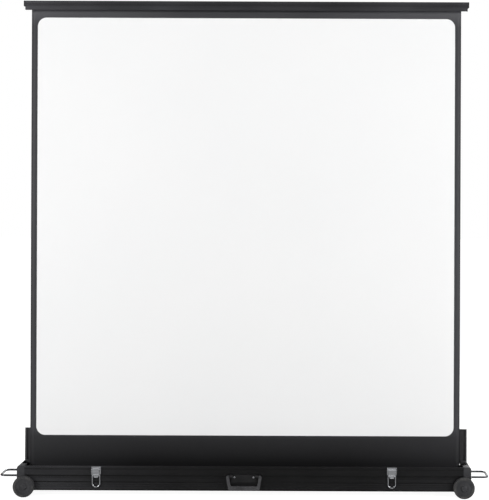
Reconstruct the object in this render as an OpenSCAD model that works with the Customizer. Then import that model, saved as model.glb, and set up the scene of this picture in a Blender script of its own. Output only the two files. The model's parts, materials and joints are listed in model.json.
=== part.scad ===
// Portable floor-standing pull-up projection screen, raised and ready for use.
// X runs along the case, the audience is towards -Y, Z is up and the floor is Z = 0.
// A double scissor behind the fabric carries the top bar, and the fabric winds on a roller in the case.

/* [Screen surface] */
// Width of the white viewing area
view_w = 2000; // [1600:10:2400]
// Height of the white viewing area
view_h = 2000; // [1600:10:2400]
// Radius of the viewing area's corners
view_corner_r = 42; // [10:1:80]
// Width of the black border at each side
border_w = 29; // [20:1:40]
// Black band between the viewing area and the top bar
top_band = 37; // [20:1:80]
// Black drop between the case and the viewing area
drop_h = 132; // [60:1:300]
// Thickness of the fabric
fabric_t = 0.8; // [0.5:0.1:1.2]

/* [Case] */
// Room between each edge of the fabric and the end frame beside it
frame_room = 12; // [8:0.5:60]
// Depth of the case, front to back
case_d = 165; // [160:1:200]
// Height of the case's underside above the floor
ground_gap = 27; // [15:1:40]
// Height of the front panel
panel_h = 118; // [114:1:140]
// Height that the rear wall lies below the front panel's top
rear_step = 23; // [16:1:30]
// Fall of the end caps' tops from front to rear
cap_step = 3; // [0:0.5:6]
// Wall of the extruded case
case_wall = 2.5; // [1.5:0.1:4]
// Radius of the case's lower edges
case_edge_r = 8; // [4:1:12]
// Length of each moulded end cap
cap_w = 33; // [24:1:50]
// Wall of the moulded end caps
cap_wall = 3; // [2:0.5:5]
// Radius of the end caps' upper outer corners
cap_corner_r = 14; // [6:1:24]
// Thickness of the steel end frames
frame_t = 3; // [2:0.5:5]
// Depth of the grooves along the front panel
groove_depth = 1.2; // [0.4:0.1:1.6]

/* [Roller] */
// Outer radius of the roller tube
roller_r = 30; // [25:1:32]
// Wall of the roller tube
roller_wall = 2; // [1:0.5:4]
// Thickness of the turns of fabric left on the raised screen's roller
wound_t = 1.5; // [0.8:0.1:3]
// Distance from the case's front face to the roller's axis
roller_inset = 44.5; // [42:0.5:50]
// Height of the roller's axis above the case's underside
roller_up = 43; // [40:1:50]
// Radius of the roller's shaft and gudgeon
shaft_r = 6; // [4:0.5:8]
// Length of the spring pack inside the roller
spring_len = 460; // [300:10:700]

/* [Scissor] */
// Distance between the two lower pivots on the raised screen
pivot_spread = 810; // [600:10:1000]
// Width of a scissor arm
arm_w = 30; // [24:1:34]
// Thickness of a scissor arm
arm_t = 14; // [10:1:16]
// Web left under the pockets of an arm
arm_web = 2.5; // [1.5:0.5:4]
// Flange left beside the pockets of an arm
arm_flange = 2.5; // [1.5:0.5:4]
// Gap between the front pair and the rear pair of arms
layer_gap = 4; // [3:0.5:6]
// Distance from the middle of the case to the front face of the front arms
arm_back = 12; // [12:0.5:16]
// Radius of the pivot pins
pin_r = 6; // [4:0.5:7]
// Radius of the pin heads and clips
pin_head_r = 9; // [8:0.5:11]
// Thickness of the pin heads
pin_head_t = 2.5; // [1.5:0.5:3]
// Height of the lower pivots above the case's floor
pivot_up = 20.5; // [18:0.5:24]
// Half length of a slider
slider_half = 24; // [16:1:34]

/* [Top bar] */
// Distance of each end of the top bar from the end of the case
bar_inset = 11; // [9:0.5:14]
// Height of the top bar
bar_h = 43; // [40:1:52]
// Distance from the fabric to the top bar's front face
bar_lead = 12.2; // [11:0.1:16]
// Room between the rear arms and the top bar's rear wall
bar_room = 5.8; // [4:0.1:12]
// Wall of the top bar
bar_wall = 2.2; // [1.6:0.1:3]
// Height of the bar's ribbed upper part
bar_upper_h = 24; // [20:1:28]
// Thickness of the bar's end plates
bar_end_t = 7; // [3:0.5:10]

/* [Lid] */
// Height of the closed lid above the front panel
lid_rise = 7.2; // [7:0.1:14]
// Wall of the lid
lid_wall = 2.2; // [1.5:0.1:3]
// Height that the hinge axis lies above the rear wall
hinge_up = 1; // [0.5:0.1:2]
// Width of the rim round the lid's hollow ends
lid_rim = 10; // [3:0.5:12]
// Opening angle of the lid as drawn
lid_open = 90; // [70:1:90]
// Number of hinges along the case
hinge_count = 5; // [3:1:7]
// Length of one hinge
hinge_len = 120; // [60:10:200]
// Radius of a hinge barrel
barrel_r = 3.5; // [3:0.1:3.7]

/* [Wheels] */
// Diameter of a wheel
wheel_d = 100; // [80:1:120]
// Width of a tyre
wheel_w = 26; // [18:1:30]
// Height of the rubber between rim and tread
tyre_h = 12; // [8:1:18]
// Distance from the end of the case to a wheel's axis
wheel_inset = 36; // [34:1:80]
// Radius of a wheel's axle
axle_r = 6; // [4:0.5:8]
// Thickness of the round plate that carries a wheel
mount_t = 3.5; // [2:0.5:5]
// Radius of that plate
mount_r = 22; // [18:0.5:22]
// Height that the hub's cap stands out of the tyre
hub_cap_t = 2.5; // [1:0.5:4]

/* [Handles and latches] */
// Radius of the chrome bar of a side handle
handle_bar_r = 5; // [4:0.5:7]
// Distance between the two arms of a side handle
handle_span = 128; // [100:1:132]
// Reach of a side handle out of the end cap
handle_reach = 86; // [60:1:110]
// Height of the side handles above the case's underside
handle_up = 68; // [50:1:75]
// Bend radius of a side handle
handle_bend_r = 22; // [14:1:30]
// Distance between the two latches
latch_spread = 1400; // [800:10:1700]
// Width of a latch base
latch_w = 45; // [42:1:50]
// Width of a latch loop over its wire
loop_w = 40; // [34:0.5:41]
// Radius of the loop's wire
loop_wire_r = 2.5; // [2:0.1:3]
// Distance from the loop's pivot to the end of the loop
loop_len = 58; // [46:1:60]
// Height of the carry handle's pivots above the case's underside
carry_up = 70.5; // [66:0.5:85]
// Width of the carry handle at its pivots
bail_top_w = 171; // [150:1:200]
// Width of the carry handle at its grip
bail_low_w = 147; // [120:1:170]
// Drop of the carry handle below its pivots
bail_drop = 64; // [54:1:70]
// Width of the carry handle's arms
bail_arm_w = 14; // [10:1:18]
// Height of the carry handle's grip
bail_grip_h = 20; // [14:1:24]
// Thickness of the carry handle
bail_t = 13; // [9:1:14]

/* [Clearances] */
// Gap between faces that pass each other
face_gap = 0.3; // [0.2:0.05:0.5]
// Radial clearance of a pin that turns in its hole
run_gap = 0.06; // [0.02:0.01:0.1]
// Radial clearance of a pin that is fixed in its hole
fix_gap = 0.02; // [0.01:0.01:0.04]
// Radial clearance of the left elbow, where the linkage closes on itself
open_gap = 0.2; // [0.1:0.05:0.3]

/* [Hidden] */
$fn = 64;

// Case
half_d = case_d / 2;
floor_z = ground_gap + case_wall;
panel_top = ground_gap + panel_h;
rear_top = panel_top - rear_step;
cap_rear = panel_top - cap_step;
fabric_half = view_w / 2 + border_w;
frame_x = fabric_half + frame_room;
cap_x = frame_x + frame_t;
end_x = cap_x + cap_w;
case_len = 2 * end_x;
cap_rim = 2;
inner_y = half_d - case_wall;
lip_w = 9;
screw_boss_r = 4.5;
screw_r = 1.9;
screw_head_r = 4;
screw_head_t = 3;
boss_in = screw_boss_r - 0.7;
channel_in = 30;
channel_drop_front = 16;
channel_drop_rear = 12;

// Heights of the raised screen
view_z0 = panel_top + drop_h;
view_z1 = view_z0 + view_h;
bar_z0 = view_z1 + top_band;
bar_z1 = bar_z0 + bar_h;

// Roller and fabric
roller_y = -half_d + roller_inset;
roller_z = ground_gap + roller_up;
wound_r = roller_r + wound_t;
tube_half = fabric_half + 1;
plug_flange = 1.5;
fabric_gap = 0.35;
fabric_y = roller_y + wound_r + fabric_gap + fabric_t / 2;
rod_r = 1.8;
keder_r = rod_r + 0.2;
keder_z = bar_z0 + 4.5;
fabric_top = keder_z - rod_r - 0.1;
spring_in = 40;
spring_x0 = -tube_half + spring_in;
spring_x1 = spring_x0 + spring_len;
spring_wall_gap = 5;
shaft_past = 20;

// Scissor: lower pivots, elbows and upper pivots of the raised screen
front_y0 = arm_back;
front_y1 = front_y0 + arm_t;
rear_y0 = front_y1 + layer_gap;
rear_y1 = rear_y0 + arm_t;
pivot_x = pivot_spread / 2;
low_z = floor_z + pivot_up;
high_z = bar_z1 - bar_wall - arm_w / 2 - 4.8;
rise = high_z - low_z;
mid_z = low_z + rise / 2;
arm_rise = rise / 2;
arm_len = sqrt(pow(pivot_spread, 2) + pow(arm_rise, 2));
arm_angle = atan2(arm_rise, pivot_spread);
centre_low_z = low_z + rise / 4;
centre_high_z = low_z + 3 * rise / 4;
boss_len = 17;
clip_t = 2;
clip_groove = 0.8;

// Folded linkage: its middle shifts to the left where the case is short for its arms
fold_angle = 1.5;
stop_room = 6;
slide_travel = arm_len * cos(fold_angle) - pivot_spread;
track_x1 = frame_x - 13;
mid_x = min(0, track_x1 - stop_room - slider_half - slide_travel - pivot_x);
left_x = mid_x - pivot_x;
right_x = mid_x + pivot_x;
track_x0 = right_x - slider_half - stop_room;
bar_low_z = bar_z0 - rise + 2 * arm_len * sin(fold_angle);

// Sliders and their tracks
base_track_wall = 3;
base_track_half = 12;
base_track_slot = 8;
bracket_t = 3;
bracket_half = 40;
bracket_y1 = front_y1 + face_gap + bracket_t;
base_track_y1 = inner_y;
base_track_y0 = inner_y - 22;
top_track_half = 10.3;
top_track_slot = 7.5;

// Top bar
bar_front = fabric_y - bar_lead;
bar_back = rear_y1 + bar_room + bar_wall;
bar_low_front = bar_front + 2;
track_back = arm_back - 3.8;
bar_half = end_x - bar_inset;
bar_body = 2 * (bar_half - bar_end_t);

// Lid and hinge
hinge_y = half_d + barrel_r + face_gap;
hinge_z = rear_top + hinge_up;
lid_top = panel_top + lid_rise;
lid_seam = 1;
lid_hole_y = 50;
hinge_margin = 30;
lid_end_w = cap_w + face_gap;
lid_len = case_len - 2 * lid_end_w;
leaf_t = 1.5;
leaf_h = 22;
hinge_pin_r = 1.5;
knuckle_count = 5;
knuckle_gap = 0.4;

// Wheels
axle_z = wheel_d / 2;
wheel_x = end_x - wheel_inset;
wheel_y0 = half_d + mount_t + 1;
wheel_y1 = wheel_y0 + wheel_w;
rim_r = wheel_d / 2 - tyre_h;
axle_end = wheel_y1 - 1.5;

// Handles and latches
handle_z = ground_gap + handle_up;
rosette_r = 10;
rosette_t = 3;
stud_r = 3;
latch_x = latch_spread / 2;
latch_top = panel_top - 3;
latch_plate_t = 1.6;
latch_plate_h = 34;
latch_base_h = 51;
latch_low = latch_top - latch_plate_h;
latch_tip = latch_top - latch_base_h;
latch_tip_r = 9;
latch_ear = 11;
latch_screw_z = latch_tip + 5.5;
latch_screw_r = 3.4;
latch_screw_t = 0.8;
lever_out = 6;
lever_z = latch_top - 12;
lever_half = 14.5;
lever_pin_r = 2.5;
lever_barrel_r = 4;
loop_barrel_r = 4.6;
loop_z = lever_z - 28;
loop_out = latch_plate_t + latch_screw_t + loop_barrel_r + 0.2;
loop_half = loop_w / 2 - loop_wire_r;
panel_screw_r = 2;
carry_z = ground_gap + carry_up;
carry_out = 11.5;
plate_half = 62;
plate_t = 4;
plate_z0 = carry_z - 28;
plate_z1 = carry_z + 8;
lug_r = 8;
bail_pin_r = 3.5;
bail_z0 = carry_z - bail_drop;
bail_z1 = carry_z + bail_arm_w / 2;
lug_x0 = plate_half - 9;
carry_screw_x = 45;
carry_screw_z = carry_z - 3;
carry_screw_r = 4;
carry_screw_t = 2;
grip_pitch = 12;
grip_groove = 3;

// Extrudes a (Y, Z) profile along X, centred on X = 0
module along_x(len) {
    translate([-len / 2, 0, 0]) rotate([90, 0, 90]) linear_extrude(len) children();
}

// Cylinder along Y from y0 to y1
module rod_y(x, z, y0, y1, r) {
    translate([x, y0, z]) rotate([-90, 0, 0]) cylinder(r = r, h = y1 - y0);
}

// Cylinder along X from x0 to x1
module rod_x(x0, x1, y, z, r) {
    translate([x0, y, z]) rotate([0, 90, 0]) cylinder(r = r, h = x1 - x0);
}

// Box from one corner to the opposite corner
module block(a, b) {
    translate(a) cube(b - a);
}

// Rectangle from (y0, z0) to (y1, z1) of a profile
module patch(y0, z0, y1, z1) {
    translate([y0, z0]) square([y1 - y0, z1 - z0]);
}

// Mirrors what is drawn at +X to the side asked for
module at_side(s) {
    if (s < 0) mirror([1, 0, 0]) children();
    else children();
}

// Outside of the case in (Y, Z), drawn in by inset; its top falls by step from front to rear
module case_outline(step, inset = 0) {
    r = case_edge_r;
    difference() {
        union() {
            patch(-half_d + inset, ground_gap + r, half_d - inset, panel_top);
            patch(-half_d + r, ground_gap + inset, half_d - r, panel_top);
            for (s = [-1, 1])
                translate([s * (half_d - r), ground_gap + r]) circle(r = r - inset);
        }
        translate([0, -inset]) seam_cut(step);
    }
}

// Everything above a seam that falls by step from the front panel's top to the rear wall
module seam_cut(step) {
    over = 5;
    polygon([
        [-half_d - over, panel_top + step * over / case_d],
        [half_d + over, panel_top - step - step * over / case_d],
        [half_d + over, lid_top + 20],
        [-half_d - over, lid_top + 20]
    ]);
}

// Places of the screw channels in the case
function channel_places() = [
    [-inner_y + boss_in, floor_z + boss_in],
    [inner_y - channel_in, floor_z + boss_in],
    [-inner_y + boss_in, panel_top - channel_drop_front],
    [inner_y - boss_in, rear_top - channel_drop_rear]
];

// Extruded trough with a grooved front panel and a turned-in top lip
module case_shell() {
    // Share of the panel's height, width and depth share of each groove, from the bottom up
    grooves = [
        [0.055, 2, 0.6], [0.17, 2, 0.6], [0.255, 2, 0.6], [0.34, 4, 1], [0.51, 1.2, 0.5],
        [0.55, 1.2, 0.5], [0.59, 5, 1], [0.85, 6, 0.4], [0.936, 1.5, 0.8]
    ];
    color("#26272a") along_x(2 * frame_x) difference() {
        union() {
            difference() {
                case_outline(rear_step);
                patch(-inner_y, floor_z, inner_y, panel_top + 10);
            }
            intersection() {
                case_outline(rear_step);
                patch(-half_d, panel_top - 4, -half_d + lip_w, panel_top + 1);
            }
            for (p = channel_places()) translate(p) circle(r = screw_boss_r);
            for (y = [roller_y - 12, roller_y + 18, bracket_y1 + 5])
                patch(y - 1, floor_z - 0.5, y + 1, floor_z + 2);
        }
        for (p = channel_places()) translate(p) circle(r = screw_r + fix_gap);
        for (g = grooves)
            translate([-half_d, ground_gap + g[0] * panel_h]) patch(-3, 0, groove_depth * g[2], g[1]);
    }
}

// Room that the end of the lowered top bar needs, in (Y, Z)
module bar_rest() {
    patch(bar_front - 3, bar_low_z - 3, bar_back + 3, lid_top);
}

// Steel plate that closes one end of the trough inside the cap's rim and carries the roller
module end_frame(bore) {
    color("#5b5f64") translate([frame_x, 0, 0]) rotate([90, 0, 90]) linear_extrude(frame_t)
        difference() {
            case_outline(rear_step, cap_rim);
            bar_rest();
            translate([roller_y, roller_z]) circle(r = bore);
            for (p = channel_places()) translate(p) circle(r = screw_r + 0.3);
            for (s = [-1, 1]) translate([s * handle_span / 2, handle_z]) circle(r = stud_r + fix_gap);
        }
}

// Moulded end cap, open towards the case, with a rounded upper outer corner and room for the bar
module end_cap() {
    color("#1f2022") difference() {
        union() {
            difference() {
                cap_block();
                cap_hollow();
                frame_seat();
            }
            intersection() {
                cap_block();
                union() {
                    for (p = channel_places())
                        rod_x(cap_x, end_x - 1, p[0], p[1], screw_boss_r + 1.2);
                    for (s = [-1, 1])
                        rod_x(cap_x, end_x - 1, s * handle_span / 2, handle_z, stud_r + 3.5);
                    for (y = [-half_d / 3, half_d / 3])
                        block([end_x - 14, y - cap_wall / 2, ground_gap + 1],
                            [end_x - 1, y + cap_wall / 2, rear_top - 8]);
                }
            }
        }
        cap_corner();
        translate([frame_x - 1, 0, 0]) rotate([90, 0, 90])
            linear_extrude(bar_half + 2 - frame_x + 1) bar_rest();
        for (p = channel_places()) {
            rod_x(cap_x - 1, end_x + 1, p[0], p[1], screw_r + 0.3);
            rod_x(end_x - screw_head_t - 1, end_x + 1, p[0], p[1], screw_head_r + 0.4);
        }
        for (s = [-1, 1])
            rod_x(cap_x - 1, end_x + 1, s * handle_span / 2, handle_z, stud_r + fix_gap);
        shadow_groove();
    }
}

// End cap before it is hollowed and rounded, with a rim that reaches over the frame's edge
module cap_block() {
    translate([frame_x, 0, 0]) rotate([90, 0, 90]) linear_extrude(frame_t + cap_w)
        case_outline(cap_step);
}

// Seat of the end frame inside that rim
module frame_seat() {
    translate([frame_x - 1, 0, 0]) rotate([90, 0, 90]) linear_extrude(frame_t + 1)
        case_outline(rear_step, cap_rim);
}

// Hollow of the end cap, with a sloping top that stays below the rounded corner
module cap_hollow() {
    y = half_d - cap_wall;
    z = ground_gap + cap_wall;
    drop = cap_corner_r - 3;
    translate([cap_x - 1, 0, 0]) rotate([90, 0, 90]) linear_extrude(cap_w - cap_wall + 1)
        polygon([[-y, z], [y, z], [y, cap_rear - drop], [-y, panel_top - drop]]);
}

// Waste outside a roll that runs along the cap's upper outer corner, down the slope of the seam
module cap_corner() {
    r = cap_corner_r;
    translate([end_x - r, 0, (panel_top + cap_rear) / 2]) rotate([-atan2(cap_step, case_d), 0, 0])
        translate([0, -case_d, -r]) difference() {
            cube([r + 5, 2 * case_d, r + 5]);
            translate([0.1, -1, 0.1]) rotate([-90, 0, 0]) cylinder(r = r, h = 2 * case_d + 2);
        }
}

// Fine groove round the cap's outer face
module shadow_groove() {
    block([end_x - 0.8, -half_d + 14, ground_gap + 14], [end_x + 1, half_d - 14, ground_gap + 15.4]);
    block([end_x - 0.8, -half_d + 14, cap_rear - 23], [end_x + 1, half_d - 14, cap_rear - 21.6]);
}

// Long screws that hold cap and frame to the trough's channels
module end_cap_screws() {
    color("#8a8d90") for (s = [-1, 1]) at_side(s) for (p = channel_places()) {
        rod_x(end_x - screw_head_t - 1, end_x - 1, p[0], p[1], screw_head_r);
        rod_x(frame_x - 16, end_x - screw_head_t - 0.5, p[0], p[1], screw_r);
    }
}

// Chrome bar bent to a D, with a threaded stud at the end of each arm
module side_handle() {
    x0 = end_x + rosette_t;
    x1 = end_x + handle_reach - handle_bar_r;
    y1 = handle_span / 2;
    color("#d9dcdf") {
        for (s = [-1, 1]) {
            rod_x(x0 - 2, x1 - handle_bend_r, s * y1, handle_z, handle_bar_r);
            rod_x(frame_x + 0.2, x0 - 1, s * y1, handle_z, stud_r);
        }
        rod_y(x1, handle_z, -y1 + handle_bend_r, y1 - handle_bend_r, handle_bar_r);
        for (s = [0, 1]) mirror([0, s, 0])
            translate([x1 - handle_bend_r, y1 - handle_bend_r, handle_z])
                rotate_extrude(angle = 90) translate([handle_bend_r, 0]) circle(r = handle_bar_r);
    }
}

// Turned collars under the arms of the side handles
module handle_rosettes() {
    color("#c9ccd0") for (s = [-1, 1], t = [-1, 1])
        at_side(s) translate([end_x, t * handle_span / 2, handle_z]) rotate([0, 90, 0])
            difference() {
                union() {
                    cylinder(r = rosette_r, h = rosette_t - 1);
                    cylinder(r = handle_bar_r + 2, h = rosette_t);
                }
                translate([0, 0, rosette_t - 2]) cylinder(r = handle_bar_r + fix_gap, h = 4);
                translate([0, 0, -1]) cylinder(r = stud_r + fix_gap, h = 10);
            }
}

// Round plates on the panels, each with the axle of one wheel
module wheel_mounts() {
    color("#3a3c3f") for (s = [-1, 1], t = [0, 1])
        at_side(s) mirror([0, t, 0]) difference() {
            union() {
                rod_y(wheel_x, axle_z, -half_d - mount_t, -half_d, mount_r);
                rod_y(wheel_x, axle_z, -axle_end, -half_d - 1, axle_r);
            }
            for (a = [45 : 90 : 315])
                rod_y(wheel_x + 15 * cos(a), axle_z + 15 * sin(a),
                    -half_d - mount_t - 1, -half_d - mount_t + 1.2, 2.6);
        }
}

// Tyre with rounded shoulders and a shallow groove round its tread
module tyre(s, t) {
    color("#17181a") at_side(s) mirror([0, t, 0])
        translate([wheel_x, -wheel_y0, axle_z]) rotate([90, 0, 0]) rotate_extrude() difference() {
            union() {
                translate([rim_r + fix_gap, 0]) square([tyre_h - 4 - fix_gap, wheel_w]);
                translate([rim_r + fix_gap, 4]) square([tyre_h - fix_gap, wheel_w - 8]);
                for (v = [4, wheel_w - 4]) translate([wheel_d / 2 - 4, v]) circle(r = 4);
            }
            translate([wheel_d / 2 - 0.8, wheel_w / 2 - 1]) square([2, 2]);
        }
}

// Hub: a closed dished face, a rim and a bored boss joined by ribs behind it, and a low domed cap
module hub(s, t) {
    boss_r = axle_r + 6;
    face_v = wheel_w - 3;
    color("#2b2c2e") at_side(s) mirror([0, t, 0]) translate([wheel_x, -wheel_y0, axle_z])
        rotate([90, 0, 0]) {
            rotate_extrude() difference() {
                union() {
                    translate([rim_r - 3, 1]) square([3, wheel_w - 1.5]);
                    translate([0, face_v - 3]) square([rim_r - 1, 3]);
                    translate([0, -1 + face_gap]) square([boss_r, wheel_w - face_gap]);
                    translate([0, wheel_w - 4]) square([boss_r, 4 + hub_cap_t]);
                    translate([boss_r, wheel_w]) circle(r = hub_cap_t);
                }
                translate([-1, -5]) square([axle_r + run_gap + 1, axle_end - wheel_y0 + face_gap + 5]);
                translate([-2 * boss_r, -10]) square([2 * boss_r, 3 * wheel_w]);
            }
            for (a = [0 : 60 : 300]) rotate([0, 0, a])
                translate([boss_r - 1, -1.2, 3]) cube([rim_r - boss_r - 1, 2.4, face_v - 4]);
        }
}

// Aluminium tube that the fabric winds on
module roller_tube() {
    color("#8f9296") along_x(2 * tube_half) translate([roller_y, roller_z]) difference() {
        circle(r = roller_r);
        circle(r = roller_r - roller_wall);
    }
}

// Left plug, which turns on the fixed shaft, and right plug with its gudgeon
module roller_plugs() {
    plug_r = roller_r - roller_wall - fix_gap;
    color("#3b3d40") {
        difference() {
            union() {
                rod_x(-tube_half - plug_flange, -tube_half, roller_y, roller_z, roller_r);
                rod_x(-tube_half, -tube_half + 24, roller_y, roller_z, plug_r);
            }
            rod_x(-tube_half - 5, -tube_half + 30, roller_y, roller_z, shaft_r + run_gap);
        }
        rod_x(tube_half, tube_half + plug_flange, roller_y, roller_z, roller_r);
        rod_x(tube_half - 24, tube_half, roller_y, roller_z, plug_r);
        rod_x(tube_half, cap_x + 1, roller_y, roller_z, shaft_r);
    }
}

// Turns of fabric that stay on the roller when the screen is up
module wound_fabric() {
    color("#1a1b1c") along_x(2 * fabric_half) translate([roller_y, roller_z]) difference() {
        circle(r = wound_r);
        circle(r = roller_r + fix_gap);
    }
}

// Fixed shaft that the roller's spring is anchored to
module roller_shaft() {
    color("#7c8085") {
        rod_x(-cap_x - 1, spring_x1 + shaft_past, roller_y, roller_z, shaft_r);
        rod_x(-cap_x - 3, -cap_x - face_gap, roller_y, roller_z, shaft_r + 3);
    }
}

// Closed spring cartridge on that shaft, inside the tube
module spring_pack() {
    color("#54585d") difference() {
        rod_x(spring_x0, spring_x1, roller_y, roller_z, roller_r - roller_wall - spring_wall_gap);
        rod_x(spring_x0 - 1, spring_x1 + 1, roller_y, roller_z, shaft_r + fix_gap);
    }
}

// Rectangle with round corners in (X, Z)
module round_rect(w, h, r) {
    translate([-w / 2 + r, -h / 2]) square([w - 2 * r, h]);
    translate([-w / 2, -h / 2 + r]) square([w, h - 2 * r]);
    for (sx = [-1, 1], sz = [-1, 1])
        translate([sx * (w / 2 - r), sz * (h / 2 - r)]) circle(r = r);
}

// One sheet: black backed, with the white viewing area a hair proud of its border
module screen_fabric() {
    color("#1b1c1e") block(
        [-fabric_half, fabric_y - fabric_t / 2 + 0.1, roller_z],
        [fabric_half, fabric_y + fabric_t / 2, fabric_top]
    );
    color("#f4f5f5") translate([0, fabric_y, (view_z0 + view_z1) / 2]) rotate([90, 0, 0])
        linear_extrude(fabric_t / 2) round_rect(view_w, view_h, view_corner_r);
}

// Rod in the sheet's upper hem, which slides into the top bar
module fabric_top_rod() {
    color("#d8d9da") rod_x(-fabric_half, fabric_half, fabric_y, keder_z, rod_r);
}

// Arm from its lower pivot along +X: a flat bar, milled out on one side between its three bosses
module arm(bores) {
    rotate([90, 0, 0]) difference() {
        linear_extrude(arm_t) {
            translate([0, -arm_w / 2]) square([arm_len, arm_w]);
            for (x = [0, arm_len]) translate([x, 0]) circle(r = arm_w / 2);
        }
        for (i = [0, 1]) translate([i * arm_len / 2, 0, arm_web]) linear_extrude(arm_t)
            translate([arm_len / 4, 0])
                round_rect(arm_len / 2 - 2 * boss_len, arm_w - 2 * arm_flange, 6);
        for (i = [0 : 2]) translate([i * arm_len / 2, 0, -1]) cylinder(r = bores[i], h = arm_t + 2);
    }
}

// Arm of the front layer, its web towards the rear layer
module front_arm(x, z, angle, bores) {
    translate([x, front_y1, z]) rotate([0, -angle, 0]) arm(bores);
}

// Arm of the rear layer, its web towards the front layer
module rear_arm(x, z, angle, bores) {
    translate([x, rear_y0, z]) rotate([0, -angle, 0]) mirror([0, 1, 0]) arm(bores);
}

run_r = pin_r + run_gap;
fix_r = pin_r + fix_gap;

// Lower arm that turns on the case at the left
module lower_arm_fixed() {
    color("#9fa2a6") front_arm(left_x, low_z, arm_angle, [run_r, fix_r, fix_r]);
}

// Lower arm whose foot slides along the case
module lower_arm_sliding() {
    color("#9fa2a6") rear_arm(right_x, low_z, 180 - arm_angle, [fix_r, run_r, fix_r]);
}

// Upper arm whose head slides along the top bar
module upper_arm_sliding() {
    color("#9fa2a6") front_arm(left_x, mid_z, arm_angle, [pin_r + open_gap, run_r, fix_r]);
}

// Upper arm that turns on the top bar at the left
module upper_arm_fixed() {
    color("#9fa2a6") rear_arm(right_x, mid_z, 180 - arm_angle, [run_r, fix_r, run_r]);
}

// Retaining clip in its groove
module clip(x, z, y0) {
    difference() {
        rod_y(x, z, y0, y0 + clip_t, pin_head_r);
        rod_y(x, z, y0 - 1, y0 + clip_t + 1, pin_r - clip_groove + fix_gap);
    }
}

// Pin fixed in a front arm, on which a rear arm turns; tail is its length behind the clip
module front_pin(x, z, tail) {
    clip_y = rear_y1 + face_gap;
    rod_y(x, z, front_y0 - pin_head_t, front_y0, pin_head_r);
    rod_y(x, z, front_y0 - 1, clip_y, pin_r);
    rod_y(x, z, front_y1, rear_y0 - face_gap, pin_head_r);
    rod_y(x, z, clip_y - 1, clip_y + clip_t + 0.5, pin_r - clip_groove);
    rod_y(x, z, clip_y + clip_t, clip_y + clip_t + tail, pin_r);
    clip(x, z, clip_y);
}

// Pin fixed in a rear arm, on which a front arm turns
module rear_pin(x, z) {
    clip_y = front_y0 - face_gap - clip_t;
    rod_y(x, z, rear_y1, rear_y1 + pin_head_t, pin_head_r);
    rod_y(x, z, clip_y + clip_t, rear_y1 + 1, pin_r);
    rod_y(x, z, front_y1 + face_gap, rear_y0, pin_head_r);
    rod_y(x, z, clip_y - 0.5, clip_y + clip_t + 1, pin_r - clip_groove);
    rod_y(x, z, clip_y - 1, clip_y, pin_r);
    clip(x, z, clip_y);
}

// Centre pin and right elbow pin of the fixed lower arm
module fixed_arm_pins() {
    color("#c3c6ca") {
        front_pin(mid_x, centre_low_z, cartridge_d - clip_t - 2);
        front_pin(right_x, mid_z, 1);
    }
}

// Left elbow pin of the sliding lower arm and the pin in its foot
module sliding_arm_pins() {
    color("#c3c6ca") {
        rear_pin(left_x, mid_z);
        rod_y(right_x, low_z, rear_y0 - pin_head_t, rear_y0, pin_head_r);
        rod_y(right_x, low_z, rear_y0 - 1, base_track_y1 - base_track_wall - 2, pin_r);
        rod_y(right_x, low_z, rear_y1, rear_y1 + pin_head_t, pin_head_r);
    }
}

// Centre pin of the upper pair
module upper_centre_pin() {
    color("#c3c6ca") rear_pin(mid_x, centre_high_z);
}

// Pin in the head of the sliding upper arm
module top_slider_pin() {
    color("#c3c6ca") {
        rod_y(right_x, high_z, front_y1, front_y1 + pin_head_t, pin_head_r);
        rod_y(right_x, high_z, bar_low_front + bar_wall + 3, front_y1 + 1, pin_r);
        rod_y(right_x, high_z, track_back + face_gap, front_y0, pin_head_r);
    }
}

cartridge_d = 16;
cartridge_r = 22;

// Spring unit that lifts the frame, riveted to the sliding lower arm round the centre pin
module spring_cartridge() {
    y0 = rear_y1;
    color("#2f3134") difference() {
        union() {
            rod_y(mid_x, centre_low_z, y0, y0 + cartridge_d, cartridge_r);
            rod_y(mid_x, centre_low_z, y0 + cartridge_d - 1, y0 + cartridge_d + 1.5, cartridge_r - 5);
        }
        rod_y(mid_x, centre_low_z, y0 - 1, y0 + clip_t + 2 * face_gap, pin_head_r + 2 * face_gap);
        rod_y(mid_x, centre_low_z, y0, y0 + cartridge_d - 1, pin_r + run_gap);
        for (a = [0 : 60 : 300])
            rod_y(mid_x + (cartridge_r - 3) * cos(a), centre_low_z + (cartridge_r - 3) * sin(a),
                y0 + cartridge_d - 1, y0 + cartridge_d + 1, 1.5);
    }
}

// Ear of a pivot bracket in (X, Z), round at the pivot, from z0 to the pivot at z
module ear(x, z, z0, y0, y1, bore) {
    difference() {
        union() {
            rod_y(x, z, y0, y1, arm_w / 2 - 2);
            block([x - arm_w / 2 + 2, y0, min(z, z0)], [x + arm_w / 2 - 2, y1, max(z, z0)]);
        }
        rod_y(x, z, y0 - 1, y1 + 1, bore);
    }
}

// Bracket on the case's floor for the foot of the fixed arm
module base_bracket() {
    t = bracket_t;
    y0 = front_y0 - face_gap - t;
    y1 = front_y1 + face_gap;
    color("#6a6e73") {
        block([left_x - bracket_half, y0, floor_z], [left_x + bracket_half, y1 + t, floor_z + t]);
        ear(left_x, low_z, floor_z, y0, y0 + t, fix_r);
        ear(left_x, low_z, floor_z, y1, y1 + t, fix_r);
    }
}

// Pin through that bracket
module base_pin() {
    y0 = front_y0 - face_gap - bracket_t;
    y1 = bracket_y1;
    color("#c3c6ca") {
        rod_y(left_x, low_z, y0 - pin_head_t, y0, pin_head_r);
        rod_y(left_x, low_z, y0 - 1, y1 + 2, pin_r);
        rod_y(left_x, low_z, y1, y1 + clip_t - 0.5, pin_head_r);
    }
}

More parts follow.
